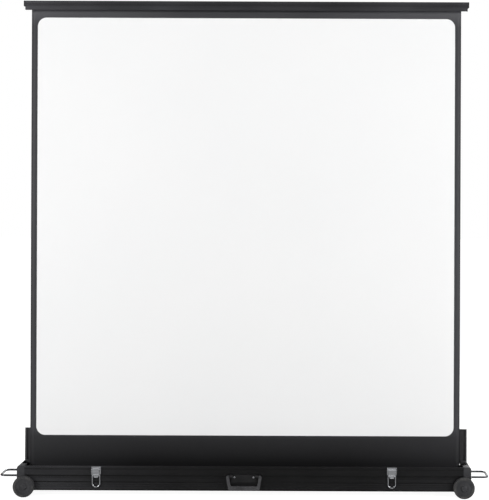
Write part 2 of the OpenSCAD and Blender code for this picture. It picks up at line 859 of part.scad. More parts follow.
// Channel on the rear wall for the foot of the sliding arm, stopped at both ends
module base_track() {
    h = base_track_half + base_track_wall;
    color("#75797e") {
        difference() {
            block([track_x0 - 3, base_track_y0, low_z - h], [track_x1 + 3, base_track_y1, low_z + h]);
            block([track_x0, base_track_y0 + base_track_wall, low_z - base_track_half],
                [track_x1, base_track_y1 - base_track_wall, low_z + base_track_half]);
            block([track_x0, base_track_y0 - 1, low_z - base_track_slot],
                [track_x1, base_track_y0 + base_track_wall + 1, low_z + base_track_slot]);
        }
    }
}

// Sliding block in that channel, relieved along its middle
module base_slider() {
    y0 = base_track_y0 + base_track_wall + face_gap;
    y1 = base_track_y1 - base_track_wall - face_gap;
    h = base_track_half - face_gap;
    color("#e4e5e2") difference() {
        block([right_x - slider_half, y0, low_z - h], [right_x + slider_half, y1, low_z + h]);
        rod_y(right_x, low_z, y0 - 1, y1 + 1, run_r);
        for (s = [-1, 1], t = [-1, 1])
            translate([right_x + s * (slider_half - 6), y0 - 1, low_z + t * h])
                rotate([-90, 0, 0]) cylinder(r = 3, h = y1 - y0 + 2);
    }
}

// Top bar profile: ribbed fascia, slider channel, hem groove and a hood over the arms
module top_bar() {
    t = bar_wall;
    color("#2a2b2e") along_x(bar_body) difference() {
        union() {
            patch(bar_front, bar_z1 - bar_upper_h, bar_low_front + t, bar_z1);
            patch(bar_low_front, bar_z0, bar_low_front + t, bar_z1 - 1);
            patch(bar_front, bar_z1 - t, bar_back, bar_z1);
            patch(bar_back - t, bar_z1 - 14, bar_back, bar_z1);
            patch(bar_low_front, high_z - top_track_half - t, track_back, high_z - top_track_half);
            patch(bar_low_front, high_z + top_track_half, track_back, high_z + top_track_half + t);
            patch(track_back - t, high_z - top_track_half - t, track_back, high_z - top_track_slot);
            patch(track_back - t, high_z + top_track_slot, track_back, high_z + top_track_half + t);
            patch(fabric_y - 3.8, bar_z0, fabric_y + 3.8, high_z - top_track_half - t + 0.5);
            patch(bar_low_front, bar_z0, fabric_y - 3, bar_z0 + t);
        }
        translate([fabric_y, keder_z]) circle(r = keder_r);
        patch(fabric_y - fabric_t, bar_z0 - 1, fabric_y + fabric_t, keder_z);
        for (v = [7, 15]) patch(bar_front - 1, bar_z1 - v - 1.6, bar_front + 1, bar_z1 - v);
    }
}

// Moulded plate that closes one end of the top bar
module top_bar_end() {
    x0 = bar_body / 2;
    color("#141517") difference() {
        block([x0, bar_front - 0.5, bar_z1 - bar_upper_h - 2], [x0 + bar_end_t, bar_back + 0.5, bar_z1]);
        for (y = [bar_front - 0.5, bar_back + 0.5]) translate([x0 + bar_end_t, y, 0])
            rotate([0, 0, 45]) translate([-1, -1, bar_z0 - 1]) cube([2, 2, bar_h + 2]);
        rod_x(x0 + bar_end_t - 1.5, x0 + bar_end_t + 1, bar_front + 16, bar_z1 - 12, 3.2);
        rod_x(x0 + bar_end_t - 1.5, x0 + bar_end_t + 1, bar_back - 14, bar_z1 - 12, 3.2);
    }
}

// Bracket under the hood for the head of the fixed upper arm
module top_bracket() {
    t = bracket_t;
    y0 = rear_y0 - face_gap - t;
    y1 = rear_y1 + face_gap;
    top = bar_z1 - bar_wall;
    color("#6a6e73") {
        block([left_x - bracket_half, y0, top - 2.4], [left_x + bracket_half, y1 + t, top]);
        ear(left_x, high_z, top, y0, y0 + t, fix_r);
        ear(left_x, high_z, top, y1, y1 + t, fix_r);
    }
}

// Pin through that bracket
module top_pin() {
    y0 = rear_y0 - face_gap - bracket_t;
    y1 = rear_y1 + face_gap + bracket_t;
    color("#c3c6ca") {
        rod_y(left_x, high_z, y0 - pin_head_t, y0, pin_head_r);
        rod_y(left_x, high_z, y0 - 1, y1 + 2, pin_r);
        rod_y(left_x, high_z, y1, y1 + clip_t - 0.5, pin_head_r);
    }
}

// Sliding block in the top bar's channel
module top_slider() {
    y0 = bar_low_front + bar_wall + face_gap;
    y1 = track_back - bar_wall - face_gap;
    h = top_track_half - face_gap;
    color("#e4e5e2") difference() {
        block([right_x - slider_half, y0, high_z - h], [right_x + slider_half, y1, high_z + h]);
        rod_y(right_x, high_z, y0 + 2, y1 + 1, run_r);
    }
}

// Turns what is drawn on the closed case into the lid's open place
module lid_pose() {
    translate([0, hinge_y, hinge_z]) rotate([-lid_open, 0, 0]) translate([0, -hinge_y, -hinge_z])
        children();
}

// Outside of the closed lid in (Y, Z), above a seam that falls by step
module lid_outline(step) {
    r = 6;
    intersection() {
        union() {
            patch(-half_d, rear_top - 5, half_d, lid_top - r);
            patch(-half_d + r, rear_top - 5, half_d - r, lid_top);
            for (s = [-1, 1]) translate([s * (half_d - r), lid_top - r]) circle(r = r);
        }
        translate([0, lid_seam]) seam_cut(step);
    }
}

// Extruded lid: a shallow tray with two stiffening ribs
module lid_shell() {
    color("#232427") lid_pose() along_x(lid_len) {
        difference() {
            lid_outline(rear_step);
            patch(-half_d + lid_wall, rear_top - 10, half_d - lid_wall, lid_top - lid_wall);
        }
        for (y = [-half_d / 3, half_d / 3])
            patch(y - 3, lid_top - lid_wall - 2, y + 3, lid_top - lid_wall + 0.5);
        patch(half_d - lid_wall - 9, lid_top - 12, half_d - lid_wall + 0.5, lid_top - 10);
    }
}

// Moulded end of the lid, which lies on the end cap when closed, hollow inside its rim
module lid_end() {
    x0 = lid_len / 2;
    color("#1c1d1f") lid_pose() difference() {
        translate([x0, 0, 0]) rotate([90, 0, 90]) linear_extrude(lid_end_w) lid_outline(cap_step);
        block([x0 + 3, -half_d + 6, rear_top - 10],
            [x0 + lid_end_w - lid_rim, half_d - 6, lid_top - 3]);
        for (y = [-lid_hole_y, lid_hole_y])
            rod_x(x0 + lid_end_w - 1.5, x0 + lid_end_w + 1, y, lid_top - 6, 1.8);
    }
}

// Knuckles of one hinge, every other one from first
module knuckles(first, bore) {
    pitch = hinge_len / knuckle_count;
    difference() {
        union() for (i = [first : 2 : knuckle_count - 1])
            rod_x(i * pitch + knuckle_gap / 2, (i + 1) * pitch - knuckle_gap / 2,
                hinge_y, hinge_z, barrel_r);
        rod_x(-1, hinge_len + 1, hinge_y, hinge_z, bore);
    }
}

// Places a hinge's parts at each hinge along the case
module at_hinges() {
    pitch = (lid_len - hinge_len - 2 * hinge_margin) / (hinge_count - 1);
    for (i = [0 : hinge_count - 1])
        translate([(i - (hinge_count - 1) / 2) * pitch - hinge_len / 2, 0, 0]) children();
}

// One leaf: a plate on the outside of a wall, notched beside the other leaf's knuckles
module leaf(first, bore, z0, z1) {
    pitch = hinge_len / knuckle_count;
    edge = barrel_r + face_gap;
    difference() {
        union() {
            knuckles(first, bore);
            block([0, half_d, z0], [hinge_len, half_d + leaf_t, z1]);
        }
        for (i = [1 - first : 2 : knuckle_count - 1])
            block([i * pitch - knuckle_gap / 2, half_d - 1, hinge_z - edge],
                [(i + 1) * pitch + knuckle_gap / 2, hinge_y + barrel_r + 1, hinge_z + edge]);
        rod_x(-1, hinge_len + 1, hinge_y, hinge_z, bore);
    }
}

// Leaves on the rear wall of the case
module hinge_case_leaf() {
    color("#4c4f53") at_hinges() leaf(0, hinge_pin_r + fix_gap, hinge_z - leaf_h, hinge_z);
}

// Leaves on the lid's rear wall
module hinge_lid_leaf() {
    color("#4c4f53") lid_pose() at_hinges() leaf(1, hinge_pin_r + run_gap, hinge_z, hinge_z + leaf_h);
}

// Hinge pins
module hinge_pin() {
    color("#b9bcc0") at_hinges() rod_x(0, hinge_len, hinge_y, hinge_z, hinge_pin_r);
}

// Hooks on the lid's front wall that the latch loops pull down on
module lid_strikes() {
    t = 1.5;
    z0 = panel_top + lid_seam + 0.5;
    out = half_d + 2 * t + 2 * loop_wire_r + 0.5;
    color("#d9dcdf") lid_pose() for (s = [-1, 1]) translate([s * latch_x, 0, 0]) {
        block([-17, -half_d - t, z0], [17, -half_d, lid_top - 0.5]);
        block([-13, -out, z0], [13, -half_d, z0 + t]);
        block([-13, -out, z0], [13, -out + t, lid_top - 1]);
    }
}

// Outline of a latch base in (X, Z): straight sides, then a taper to a rounded tip
module latch_outline() {
    tip_r = latch_tip_r;
    polygon([
        [-latch_w / 2, latch_top], [-latch_w / 2, latch_low],
        [-tip_r, latch_tip + tip_r * 0.9], [tip_r, latch_tip + tip_r * 0.9],
        [latch_w / 2, latch_low], [latch_w / 2, latch_top]
    ]);
    translate([0, latch_tip + tip_r]) circle(r = tip_r);
}

// Chrome bases with raised sides, each with the riveted pin of its lever
module latch_bases() {
    y0 = -half_d - latch_ear;
    color("#d9dcdf") for (s = [-1, 1]) translate([s * latch_x, 0, 0]) difference() {
        union() {
            translate([0, -half_d, 0]) rotate([90, 0, 0]) linear_extrude(latch_plate_t) latch_outline();
            for (t = [0, 1]) mirror([t, 0, 0])
                translate([latch_w / 2 - latch_plate_t, 0, 0]) rotate([90, 0, 90])
                    linear_extrude(latch_plate_t) polygon([
                        [-half_d, latch_top], [-half_d, latch_low],
                        [y0 + 6, latch_low], [y0, latch_low + 8],
                        [y0, latch_top - 7], [y0 + 4, latch_top]
                    ]);
            rod_x(-latch_w / 2 - 0.8, latch_w / 2 + 0.8, -half_d - lever_out, lever_z, lever_pin_r);
        }
        rod_y(0, latch_screw_z, -half_d - 5, -half_d + 1, panel_screw_r + 0.1);
    }
}

// Lever: a pressed plate with a rolled barrel at its pivot and another for the loop
module latch_lever(s) {
    yp = -half_d - lever_out;
    yl = -half_d - loop_out;
    y1 = -half_d - latch_plate_t - face_gap;
    tab = 9;
    color("#d9dcdf") translate([s * latch_x, 0, 0]) difference() {
        union() {
            rod_x(-lever_half, lever_half, yp, lever_z, lever_barrel_r);
            rod_x(-lever_half, lever_half, yl, loop_z, loop_barrel_r);
            block([-lever_half, yp - 4, loop_z], [lever_half, yp - 1.6, lever_z]);
            translate([0, yp - 4, 0]) rotate([-90, 0, 0]) linear_extrude(2.4)
                polygon([[-lever_half, -loop_z], [lever_half, -loop_z],
                    [lever_half - 5, -loop_z + tab], [-lever_half + 5, -loop_z + tab]]);
            rod_x(-lever_half + 5, lever_half - 5, yp - 5, loop_z - tab, 2);
        }
        rod_x(-lever_half - 1, lever_half + 1, yp, lever_z, lever_pin_r + run_gap);
        for (t = [-1, 1]) translate([t * (lever_half - 3), 0, 0])
            rod_x(-4.5, 4.5, yl, loop_z, loop_wire_r + run_gap);
        block([-lever_half - 1, y1, loop_z - 20], [lever_half + 1, -half_d + 1, lever_z + 10]);
    }
}

// Bent wire loop, its ends turned in to the lever
module latch_loop(s) {
    y = -half_d - loop_out;
    z1 = loop_z - loop_len + loop_wire_r + loop_half;
    color("#e2e4e6") translate([s * latch_x, y, 0]) {
        for (t = [-1, 1]) {
            translate([t * loop_half, 0, z1]) cylinder(r = loop_wire_r, h = loop_z - z1);
            translate([t * loop_half, 0, loop_z]) sphere(r = loop_wire_r);
            rod_x(min(t * loop_half, t * (lever_half - 6)), max(t * loop_half, t * (lever_half - 6)),
                0, loop_z, loop_wire_r);
        }
        translate([0, 0, z1]) rotate([90, 0, 0]) rotate([0, 0, 180]) rotate_extrude(angle = 180)
            translate([loop_half, 0]) circle(r = loop_wire_r);
    }
}

// Half width of the tapered carry handle at a height
function bail_half(z) =
    bail_low_w / 2 + (bail_top_w - bail_low_w) / 2 * (z - bail_z0) / (bail_z1 - bail_z0);

// Base plate of the carry handle with a bored lug at each end
module carry_plate() {
    lug_x = bail_half(carry_z - lug_r) - bail_arm_w - face_gap;
    color("#1d1e20") difference() {
        union() {
            translate([0, -half_d, (plate_z0 + plate_z1) / 2]) rotate([90, 0, 0])
                linear_extrude(plate_t) round_rect(2 * plate_half, plate_z1 - plate_z0, 5);
            for (t = [0, 1]) mirror([t, 0, 0]) {
                rod_x(lug_x0, lug_x, -half_d - carry_out, carry_z, lug_r);
                block([lug_x0, -half_d - carry_out, carry_z - lug_r],
                    [lug_x, -half_d, carry_z + lug_r]);
            }
        }
        rod_x(-lug_x - 1, lug_x + 1, -half_d - carry_out, carry_z, bail_pin_r + run_gap);
        block([-lug_x0, -half_d - 30, carry_z - lug_r - 2],
            [lug_x0, -half_d - plate_t, carry_z + lug_r + 2]);
        for (s = [-1, 1])
            rod_y(s * carry_screw_x, carry_screw_z, -half_d - 6, -half_d + 1, panel_screw_r + 0.1);
    }
}

// Moulded bail, hanging, with a stub pin turned in at the top of each arm
module carry_handle() {
    y = -half_d - carry_out;
    top_in = bail_half(bail_z1 + 20) - bail_arm_w;
    low_in = bail_half(bail_z0 + bail_grip_h) - bail_arm_w;
    color("#1a1b1c") difference() {
        union() {
            translate([0, y + bail_t / 2, 0]) rotate([90, 0, 0]) linear_extrude(bail_t) difference() {
                offset(r = 9, $fn = 32) offset(delta = -9) polygon([
                    [-bail_top_w / 2, bail_z1], [bail_top_w / 2, bail_z1],
                    [bail_low_w / 2, bail_z0], [-bail_low_w / 2, bail_z0]
                ]);
                offset(r = 5, $fn = 32) offset(delta = -5) polygon([
                    [-top_in, bail_z1 + 20], [top_in, bail_z1 + 20],
                    [low_in, bail_z0 + bail_grip_h], [-low_in, bail_z0 + bail_grip_h]
                ]);
            }
            for (t = [0, 1]) mirror([t, 0, 0])
                rod_x(bail_top_w / 2 - bail_arm_w - 14, bail_top_w / 2 - 4, y, carry_z, bail_pin_r);
        }
        for (i = [-4 : 4]) translate([i * grip_pitch, y - bail_t / 2, 0])
            block([-grip_groove / 2, -1, bail_z0 - 1], [grip_groove / 2, 0.8, bail_z0 + bail_grip_h + 1]);
    }
}

// Screw through a plate of thickness t on the front panel, with a flat head
module panel_screw(x, z, t, head_r, head_t) {
    rod_y(x, z, -half_d - t - head_t, -half_d - t, head_r);
    rod_y(x, z, -half_d - t - head_t / 2, -half_d, panel_screw_r);
}

// Small screws on the front panel
module panel_screws() {
    color("#d9dcdf") {
        for (s = [-1, 1]) {
            panel_screw(s * carry_screw_x, carry_screw_z, plate_t, carry_screw_r, carry_screw_t);
            panel_screw(s * latch_x, latch_screw_z, latch_plate_t, latch_screw_r, latch_screw_t);
        }
    }
}

case_shell();
at_side(-1) end_frame(shaft_r + fix_gap);  // end_frame_left
at_side(1) end_frame(shaft_r + run_gap);  // end_frame_right
at_side(-1) end_cap();  // end_cap_left
at_side(1) end_cap();  // end_cap_right
end_cap_screws();
at_side(-1) side_handle();  // side_handle_left
at_side(1) side_handle();  // side_handle_right
handle_rosettes();
wheel_mounts();
tyre(-1, 0);  // tyre_front_left
tyre(1, 0);  // tyre_front_right
tyre(-1, 1);  // tyre_rear_left
tyre(1, 1);  // tyre_rear_right
hub(-1, 0);  // hub_front_left
hub(1, 0);  // hub_front_right
hub(-1, 1);  // hub_rear_left
hub(1, 1);  // hub_rear_right
roller_tube();
roller_plugs();
wound_fabric();
roller_shaft();
spring_pack();
screen_fabric();
fabric_top_rod();
lower_arm_fixed();
lower_arm_sliding();
upper_arm_sliding();
upper_arm_fixed();
fixed_arm_pins();
sliding_arm_pins();
upper_centre_pin();
top_slider_pin();
spring_cartridge();
base_bracket();
base_pin();
base_track();
base_slider();
top_bar();
at_side(-1) top_bar_end();  // top_bar_end_left
at_side(1) top_bar_end();  // top_bar_end_right
top_bracket();
top_pin();
top_slider();
lid_shell();
at_side(-1) lid_end();  // lid_end_left
at_side(1) lid_end();  // lid_end_right
hinge_case_leaf();
hinge_lid_leaf();
hinge_pin();
lid_strikes();
latch_bases();
latch_lever(-1);  // latch_lever_left
latch_lever(1);  // latch_lever_right
latch_loop(-1);  // latch_loop_left
latch_loop(1);  // latch_loop_right
carry_plate();
carry_handle();
panel_screws();
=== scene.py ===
# %% [markdown]
# A portable projection screen, raised out of its wheeled case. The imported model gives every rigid
# part in its real place, so this file adds what a solid model lacks: the cloth, softened edges,
# finishes, light and a camera. The first step loads that model and measures its box.

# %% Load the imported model
import json
import math

import bmesh
import bpy
from mathutils import Matrix, Vector


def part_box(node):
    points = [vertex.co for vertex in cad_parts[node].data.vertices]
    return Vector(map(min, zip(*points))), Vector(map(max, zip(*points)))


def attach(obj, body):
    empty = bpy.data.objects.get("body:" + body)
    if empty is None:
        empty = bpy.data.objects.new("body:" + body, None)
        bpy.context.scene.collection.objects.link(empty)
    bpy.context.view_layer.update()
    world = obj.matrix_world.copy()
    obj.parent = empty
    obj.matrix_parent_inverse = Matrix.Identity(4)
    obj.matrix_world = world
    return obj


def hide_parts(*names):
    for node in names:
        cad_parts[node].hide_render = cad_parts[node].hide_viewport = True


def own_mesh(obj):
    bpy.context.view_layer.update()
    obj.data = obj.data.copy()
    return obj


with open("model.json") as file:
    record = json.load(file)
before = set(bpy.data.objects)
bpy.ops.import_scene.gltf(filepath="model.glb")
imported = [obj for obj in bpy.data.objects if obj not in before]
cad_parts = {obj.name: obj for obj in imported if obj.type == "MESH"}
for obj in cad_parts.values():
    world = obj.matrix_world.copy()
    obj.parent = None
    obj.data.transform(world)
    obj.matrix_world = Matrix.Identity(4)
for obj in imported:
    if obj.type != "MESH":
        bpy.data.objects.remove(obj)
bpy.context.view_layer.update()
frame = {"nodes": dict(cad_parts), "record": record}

bodies = frame["record"]["behaviour"]["bodies"]
body_of = {node: body for body, nodes in bodies.items() for node in nodes}

# %% [markdown]
# The photo was taken straight from the front. Its verticals and horizontals are parallel, yet the
# case is seen from well above and a little from the right. So the camera stood level, higher than
# the middle of the picture and to its right, and the frame was shifted down and to the left.
# Place, distance and shift were found together, from the outlines of the cloth, the bar, the front
# panel and the wheels, which lie at four different depths. The camera was also turned by a quarter
# of a degree. The shift is measured in the photo's pixels, from its middle to the camera's axis.

# %% Camera
IMAGE_W = 489
IMAGE_H = 500
FOCAL_PX = 1371
AXIS_PX = (307.5, 183.0)
CAMERA_PLACE = (0.2953, -6.5785, 1.4892)
CAMERA_ROLL = math.radians(-0.23)

camera_data = bpy.data.cameras.new("camera")
camera_data.lens = camera_data.sensor_width * FOCAL_PX / IMAGE_H
camera_data.shift_x = (IMAGE_W / 2 - AXIS_PX[0]) / IMAGE_H
camera_data.shift_y = (AXIS_PX[1] - IMAGE_H / 2) / IMAGE_H
camera = bpy.data.objects.new("camera", camera_data)
camera.location = CAMERA_PLACE
camera.rotation_euler = (math.radians(90), CAMERA_ROLL, 0)
bpy.context.collection.objects.link(camera)
bpy.context.scene.camera = camera
print("field of view", round(math.degrees(camera_data.angle), 2))

# %% [markdown]
# Product photos of this kind are lit by two soft sources at the camera's sides and a weaker one
# high above it, in a white room, with one more behind that lifts the background. The cloth in the
# photo is a little brighter towards both side edges and towards the top, which is what the front
# three give. Small hard lamps would draw sharp shadows of the top bar on the cloth, so every lamp
# is a wide area. The room is white where the camera sees it. Shiny parts see it darker in front,
# where the photographer stands, and brighter on the right than on the left: that contrast is what
# makes chrome look like chrome.

# %% Light and room
# Name, place, the point that it lights, width and height, and power in watts
LAMPS = (
    ("ceiling_lamp", (0.0, -3.4, 4.9), (0, 0, 1.9), (3.6, 2.0), 42),
    ("left_lamp", (-4.0, -3.2, 1.6), (-0.3, 0, 1.7), (1.6, 2.0), 109),
    ("right_lamp", (4.0, -3.2, 1.6), (0.3, 0, 1.7), (1.6, 2.0), 111),
    ("back_lamp", (0.5, 3.8, 2.6), (0, 0, 0.8), (3.6, 2.0), 150),
)
ROOM_LIGHT = 0.4
ROOM_SEEN = 1.0
ROOM_FRONT = 0.3
ROOM_LEFT = 0.4
ROOM_RIGHT = 1.15

scene = bpy.context.scene
scene.view_settings.view_transform = "Standard"
for name, place, aim, size, power in LAMPS:
    lamp_data = bpy.data.lights.new(name, "AREA")
    lamp_data.shape = "RECTANGLE"
    lamp_data.size, lamp_data.size_y = size
    lamp_data.energy = power
    lamp = bpy.data.objects.new(name, lamp_data)
    lamp.location = place
    lamp.rotation_euler = (Vector(aim) - Vector(place)).to_track_quat("-Z", "Y").to_euler()
    bpy.context.collection.objects.link(lamp)


def combine(tree, operation, first, second=None):
    """A math node on one or two sockets."""
    node = tree.nodes.new("ShaderNodeMath")
    node.operation = operation
    tree.links.new(first, node.inputs[0])
    if second is not None:
        tree.links.new(second, node.inputs[1])
    return node.outputs[0]


def choose(tree, factor, first, second):
    """The first shader where a factor is 0 and the second where it is 1."""
    node = tree.nodes.new("ShaderNodeMixShader")
    for slot, socket in enumerate((factor, first, second)):
        tree.links.new(socket, node.inputs[slot])
    return node.outputs[0]


def background(tree, strength=1.0):
    """A white background. Its strength can be linked to a socket later."""
    node = tree.nodes.new("ShaderNodeBackground")
    node.inputs["Color"].default_value = (1, 1, 1, 1)
    node.inputs["Strength"].default_value = strength
    return node


room = bpy.data.worlds.new("room")
scene.world = room
room.use_nodes = True
sky = room.node_tree
sky.nodes.clear()
rays = sky.nodes.new("ShaderNodeLightPath")
towards = sky.nodes.new("ShaderNodeTexCoord")
axes = sky.nodes.new("ShaderNodeSeparateXYZ")
sky.links.new(towards.outputs["Generated"], axes.inputs[0])
fades = []
for axis, start, end, low, high in (("X", -0.6, 0.6, ROOM_LEFT, ROOM_RIGHT),
                                    ("Y", -0.97, -0.4, ROOM_FRONT, 1)):
    fade = sky.nodes.new("ShaderNodeMapRange")
    fade.interpolation_type = "SMOOTHSTEP"
    fade.inputs["From Min"].default_value = start
    fade.inputs["From Max"].default_value = end
    fade.inputs["To Min"].default_value = low
    fade.inputs["To Max"].default_value = high
    sky.links.new(axes.outputs[axis], fade.inputs["Value"])
    fades.append(fade.outputs[0])
lighting = background(sky, ROOM_LIGHT)
reflected = background(sky)
sky.links.new(combine(sky, "MULTIPLY", *fades), reflected.inputs["Strength"])
seen = background(sky, ROOM_SEEN)
shiny = combine(sky, "MAXIMUM", rays.outputs["Is Glossy Ray"],
                rays.outputs["Is Transmission Ray"])
unseen = choose(sky, shiny, lighting.outputs[0], reflected.outputs[0])
world_out = sky.nodes.new("ShaderNodeOutputWorld")
sky.links.new(choose(sky, rays.outputs["Is Camera Ray"], unseen, seen.outputs[0]),
              world_out.inputs[0])

# %% [markdown]
# The floor has two jobs: it sends light up under the case, and it has to melt into the white
# background and still carry a shadow. A plain white plane would show a grey horizon. So what the
# camera sees is mostly a steady glow, with a small share of real shading that keeps the shadow.
# The light that it throws back is that of a mid grey floor, because the front panel and the chrome
# in the photo are too dark to stand over a white one.

# %% Floor
FLOOR_SIZE = 60
FLOOR_GLOW = 0.93
FLOOR_SHADE = 0.34
FLOOR_BOUNCE = 0.5


def new_piece(name, bm, smooth=True):
    """An object made from a finished bmesh."""
    mesh = bpy.data.meshes.new(name)
    bm.to_mesh(mesh)
    bm.free()
    for polygon in mesh.polygons:
        polygon.use_smooth = smooth
    piece = bpy.data.objects.new(name, mesh)
    bpy.context.collection.objects.link(piece)
    return piece


floor_bm = bmesh.new()
bmesh.ops.create_grid(floor_bm, x_segments=1, y_segments=1, size=FLOOR_SIZE / 2)
floor = new_piece("floor", floor_bm, smooth=False)

floor_paint = bpy.data.materials.new("pale_floor")
floor_paint.use_nodes = True
ground = floor_paint.node_tree
ground.nodes.clear()
bounce = ground.nodes.new("ShaderNodeBsdfDiffuse")
bounce.inputs["Color"].default_value = (FLOOR_BOUNCE, FLOOR_BOUNCE, FLOOR_BOUNCE, 1)
shade = ground.nodes.new("ShaderNodeBsdfDiffuse")
shade.inputs["Color"].default_value = (FLOOR_SHADE, FLOOR_SHADE, FLOOR_SHADE, 1)
glow = ground.nodes.new("ShaderNodeEmission")
glow.inputs["Strength"].default_value = FLOOR_GLOW
both = ground.nodes.new("ShaderNodeAddShader")
camera_rays = ground.nodes.new("ShaderNodeLightPath")
floor_out = ground.nodes.new("ShaderNodeOutputMaterial")
ground.links.new(shade.outputs[0], both.inputs[0])
ground.links.new(glow.outputs[0], both.inputs[1])
ground.links.new(choose(ground, camera_rays.outputs["Is Camera Ray"], bounce.outputs[0],
                        both.outputs[0]), floor_out.inputs[0])
floor.data.materials.append(floor_paint)
print("floor", FLOOR_SIZE, "m")

# %% [markdown]
# Every finish below starts from the same shader with its plain values set, and then gets what
# makes it look real: noise that varies the roughness, streaks left by extruding or brushing, a
# grain that catches the light. These small helpers keep each finish down to a few lines. All
# patterns read object coordinates, which are metres here, so their scale is a real size.

# %% Helpers for finishes
def finish(name, colour, metallic=0.0, roughness=0.5, specular=0.5):
    """A material with its uniform values set, and its tree and shader."""
    material = bpy.data.materials.new(name)
    material.use_nodes = True
    tree = material.node_tree
    shader = tree.nodes["Principled BSDF"]
    shader.inputs["Base Color"].default_value = (*colour, 1)
    shader.inputs["Metallic"].default_value = metallic
    shader.inputs["Roughness"].default_value = roughness
    shader.inputs["Specular IOR Level"].default_value = specular
    return material, tree, shader


def pattern(tree, scale, turn=0.0, detail=4.0, squeeze=(1, 1, 1)):
    """Noise in metres, squeezed along an axis for streaks, turned about Y to follow a part."""
    place = tree.nodes.new("ShaderNodeTexCoord")
    mapping = tree.nodes.new("ShaderNodeMapping")
    mapping.inputs["Rotation"].default_value = (0, turn, 0)
    stretch = tree.nodes.new("ShaderNodeVectorMath")
    stretch.operation = "MULTIPLY"
    stretch.inputs[1].default_value = squeeze
    noise = tree.nodes.new("ShaderNodeTexNoise")
    noise.inputs["Scale"].default_value = scale
    noise.inputs["Detail"].default_value = detail
    tree.links.new(place.outputs["Object"], mapping.inputs["Vector"])
    tree.links.new(mapping.outputs[0], stretch.inputs[0])
    tree.links.new(stretch.outputs[0], noise.inputs["Vector"])
    return noise.outputs[0]


def between(tree, value, low, high, start=0.3, end=0.7):
    """Maps a value from one range to another, by default from the middle range of a noise."""
    node = tree.nodes.new("ShaderNodeMapRange")
    node.inputs["From Min"].default_value = start
    node.inputs["From Max"].default_value = end
    node.inputs["To Min"].default_value = low
    node.inputs["To Max"].default_value = high
    tree.links.new(value, node.inputs["Value"])
    return node.outputs[0]


def mix_node(tree, mode="MIX"):
    """A node that joins two colours: its inputs 0, 6 and 7 are the share and the colours."""
    node = tree.nodes.new("ShaderNodeMix")
    node.data_type = "RGBA"
    node.blend_type = mode
    return node


def two_tones(tree, value, dark, light):
    """Mixes two colours by a value."""
    node = mix_node(tree)
    node.inputs[6].default_value = (*dark, 1)
    node.inputs[7].default_value = (*light, 1)
    tree.links.new(value, node.inputs[0])
    return node.outputs[2]


def around(tree, value, colour, darker, lighter):
    """A colour that a value makes darker or lighter."""
    return two_tones(tree, value, [c * darker for c in colour], [c * lighter for c in colour])


def mixed(tree, value, low, high):
    """Mixes two colour sockets by a value."""
    node = mix_node(tree)
    tree.links.new(value, node.inputs[0])
    tree.links.new(low, node.inputs[6])
    tree.links.new(high, node.inputs[7])
    return node.outputs[2]


def times(tree, colour, level, share=None):
    """A colour socket multiplied by a level, in full or by a share."""
    node = mix_node(tree, "MULTIPLY")
    node.inputs[0].default_value = 1
    if share is not None:
        tree.links.new(share, node.inputs[0])
    tree.links.new(colour, node.inputs[6])
    tree.links.new(level, node.inputs[7])
    return node.outputs[2]


def graded(tree, value, levels, low, high):
    """A grey level that follows a value through a list of stops between two limits."""
    ramp = tree.nodes.new("ShaderNodeValToRGB")
    stops = ramp.color_ramp.elements
    while len(stops) > 1:
        stops.remove(stops[-1])
    for index, (height, level) in enumerate(levels):
        position = (height - low) / (high - low)
        stop = stops[0] if index == 0 else stops.new(position)
        stop.position = position
        stop.color = (level, level, level, 1)
    tree.links.new(between(tree, value, 0, 1, low, high), ramp.inputs[0])
    return ramp.outputs[0]


def object_axes(tree):
    """The sockets of the place on the part, in metres."""
    place = tree.nodes.new("ShaderNodeTexCoord")
    axes = tree.nodes.new("ShaderNodeSeparateXYZ")
    tree.links.new(place.outputs["Object"], axes.inputs[0])
    return axes.outputs


def bump(tree, shader, value, depth, strength=1.0):
    """Raises the surface by a value, depth in metres."""
    node = tree.nodes.new("ShaderNodeBump")
    node.inputs["Distance"].default_value = depth
    node.inputs["Strength"].default_value = strength
    tree.links.new(value, node.inputs["Height"])
    tree.links.new(node.outputs[0], shader.inputs["Normal"])


def put(material, *nodes):
    """Gives CAD nodes or pieces one material."""
    for node in nodes:
        piece = frame["nodes"].get(node) if isinstance(node, str) else node
        piece.data.materials.clear()
        piece.data.materials.append(material)


# %% [markdown]
# The case, the lid and the top bar are aluminium extrusions with a satin black coat. An extrusion
# has faint lines along its length from the die, never across it, so the noise is squeezed along X.
# A second, broad noise stands for handling: the coat is a little shinier where hands and the van
# floor have rubbed it. A ramp over the front panel's height paints shade into its grooves, so each
# groove is a dark band and the ridges between them stay lighter. A second ramp along the case
# paints light onto its two ends, the left one most. The bar has the same two: painted light at
# its ends, and painted shade in one band along its front.

# %% Black extrusions
# Height as a share of the panel's, and the tone there: painted shade, darkest in the grooves
PANEL_PAINTED_SHADE = (
    (0.0, 0.5), (0.05, 0.5),
    (0.075, 1.0), (0.165, 1.0), (0.175, 0.4),
    (0.19, 1.0), (0.25, 1.0), (0.262, 0.4),
    (0.28, 1.0), (0.33, 0.9), (0.345, 0.05), (0.37, 0.05),
    (0.385, 0.85), (0.505, 0.75), (0.515, 0.3),
    (0.535, 0.75), (0.555, 0.3),
    (0.575, 0.7), (0.6, 0.05), (0.625, 0.05),
    (0.645, 0.68), (0.84, 0.68), (0.86, 0.35), (0.895, 0.35),
    (0.91, 0.75), (0.95, 1.0), (1.0, 1.0),
)
# The panel's painted shade fades out between these two depths, just behind its face
PANEL_FRONT = (-0.0795, -0.0785)
# Half of the length that the next two ramps cover, in metres
HALF = 1.07
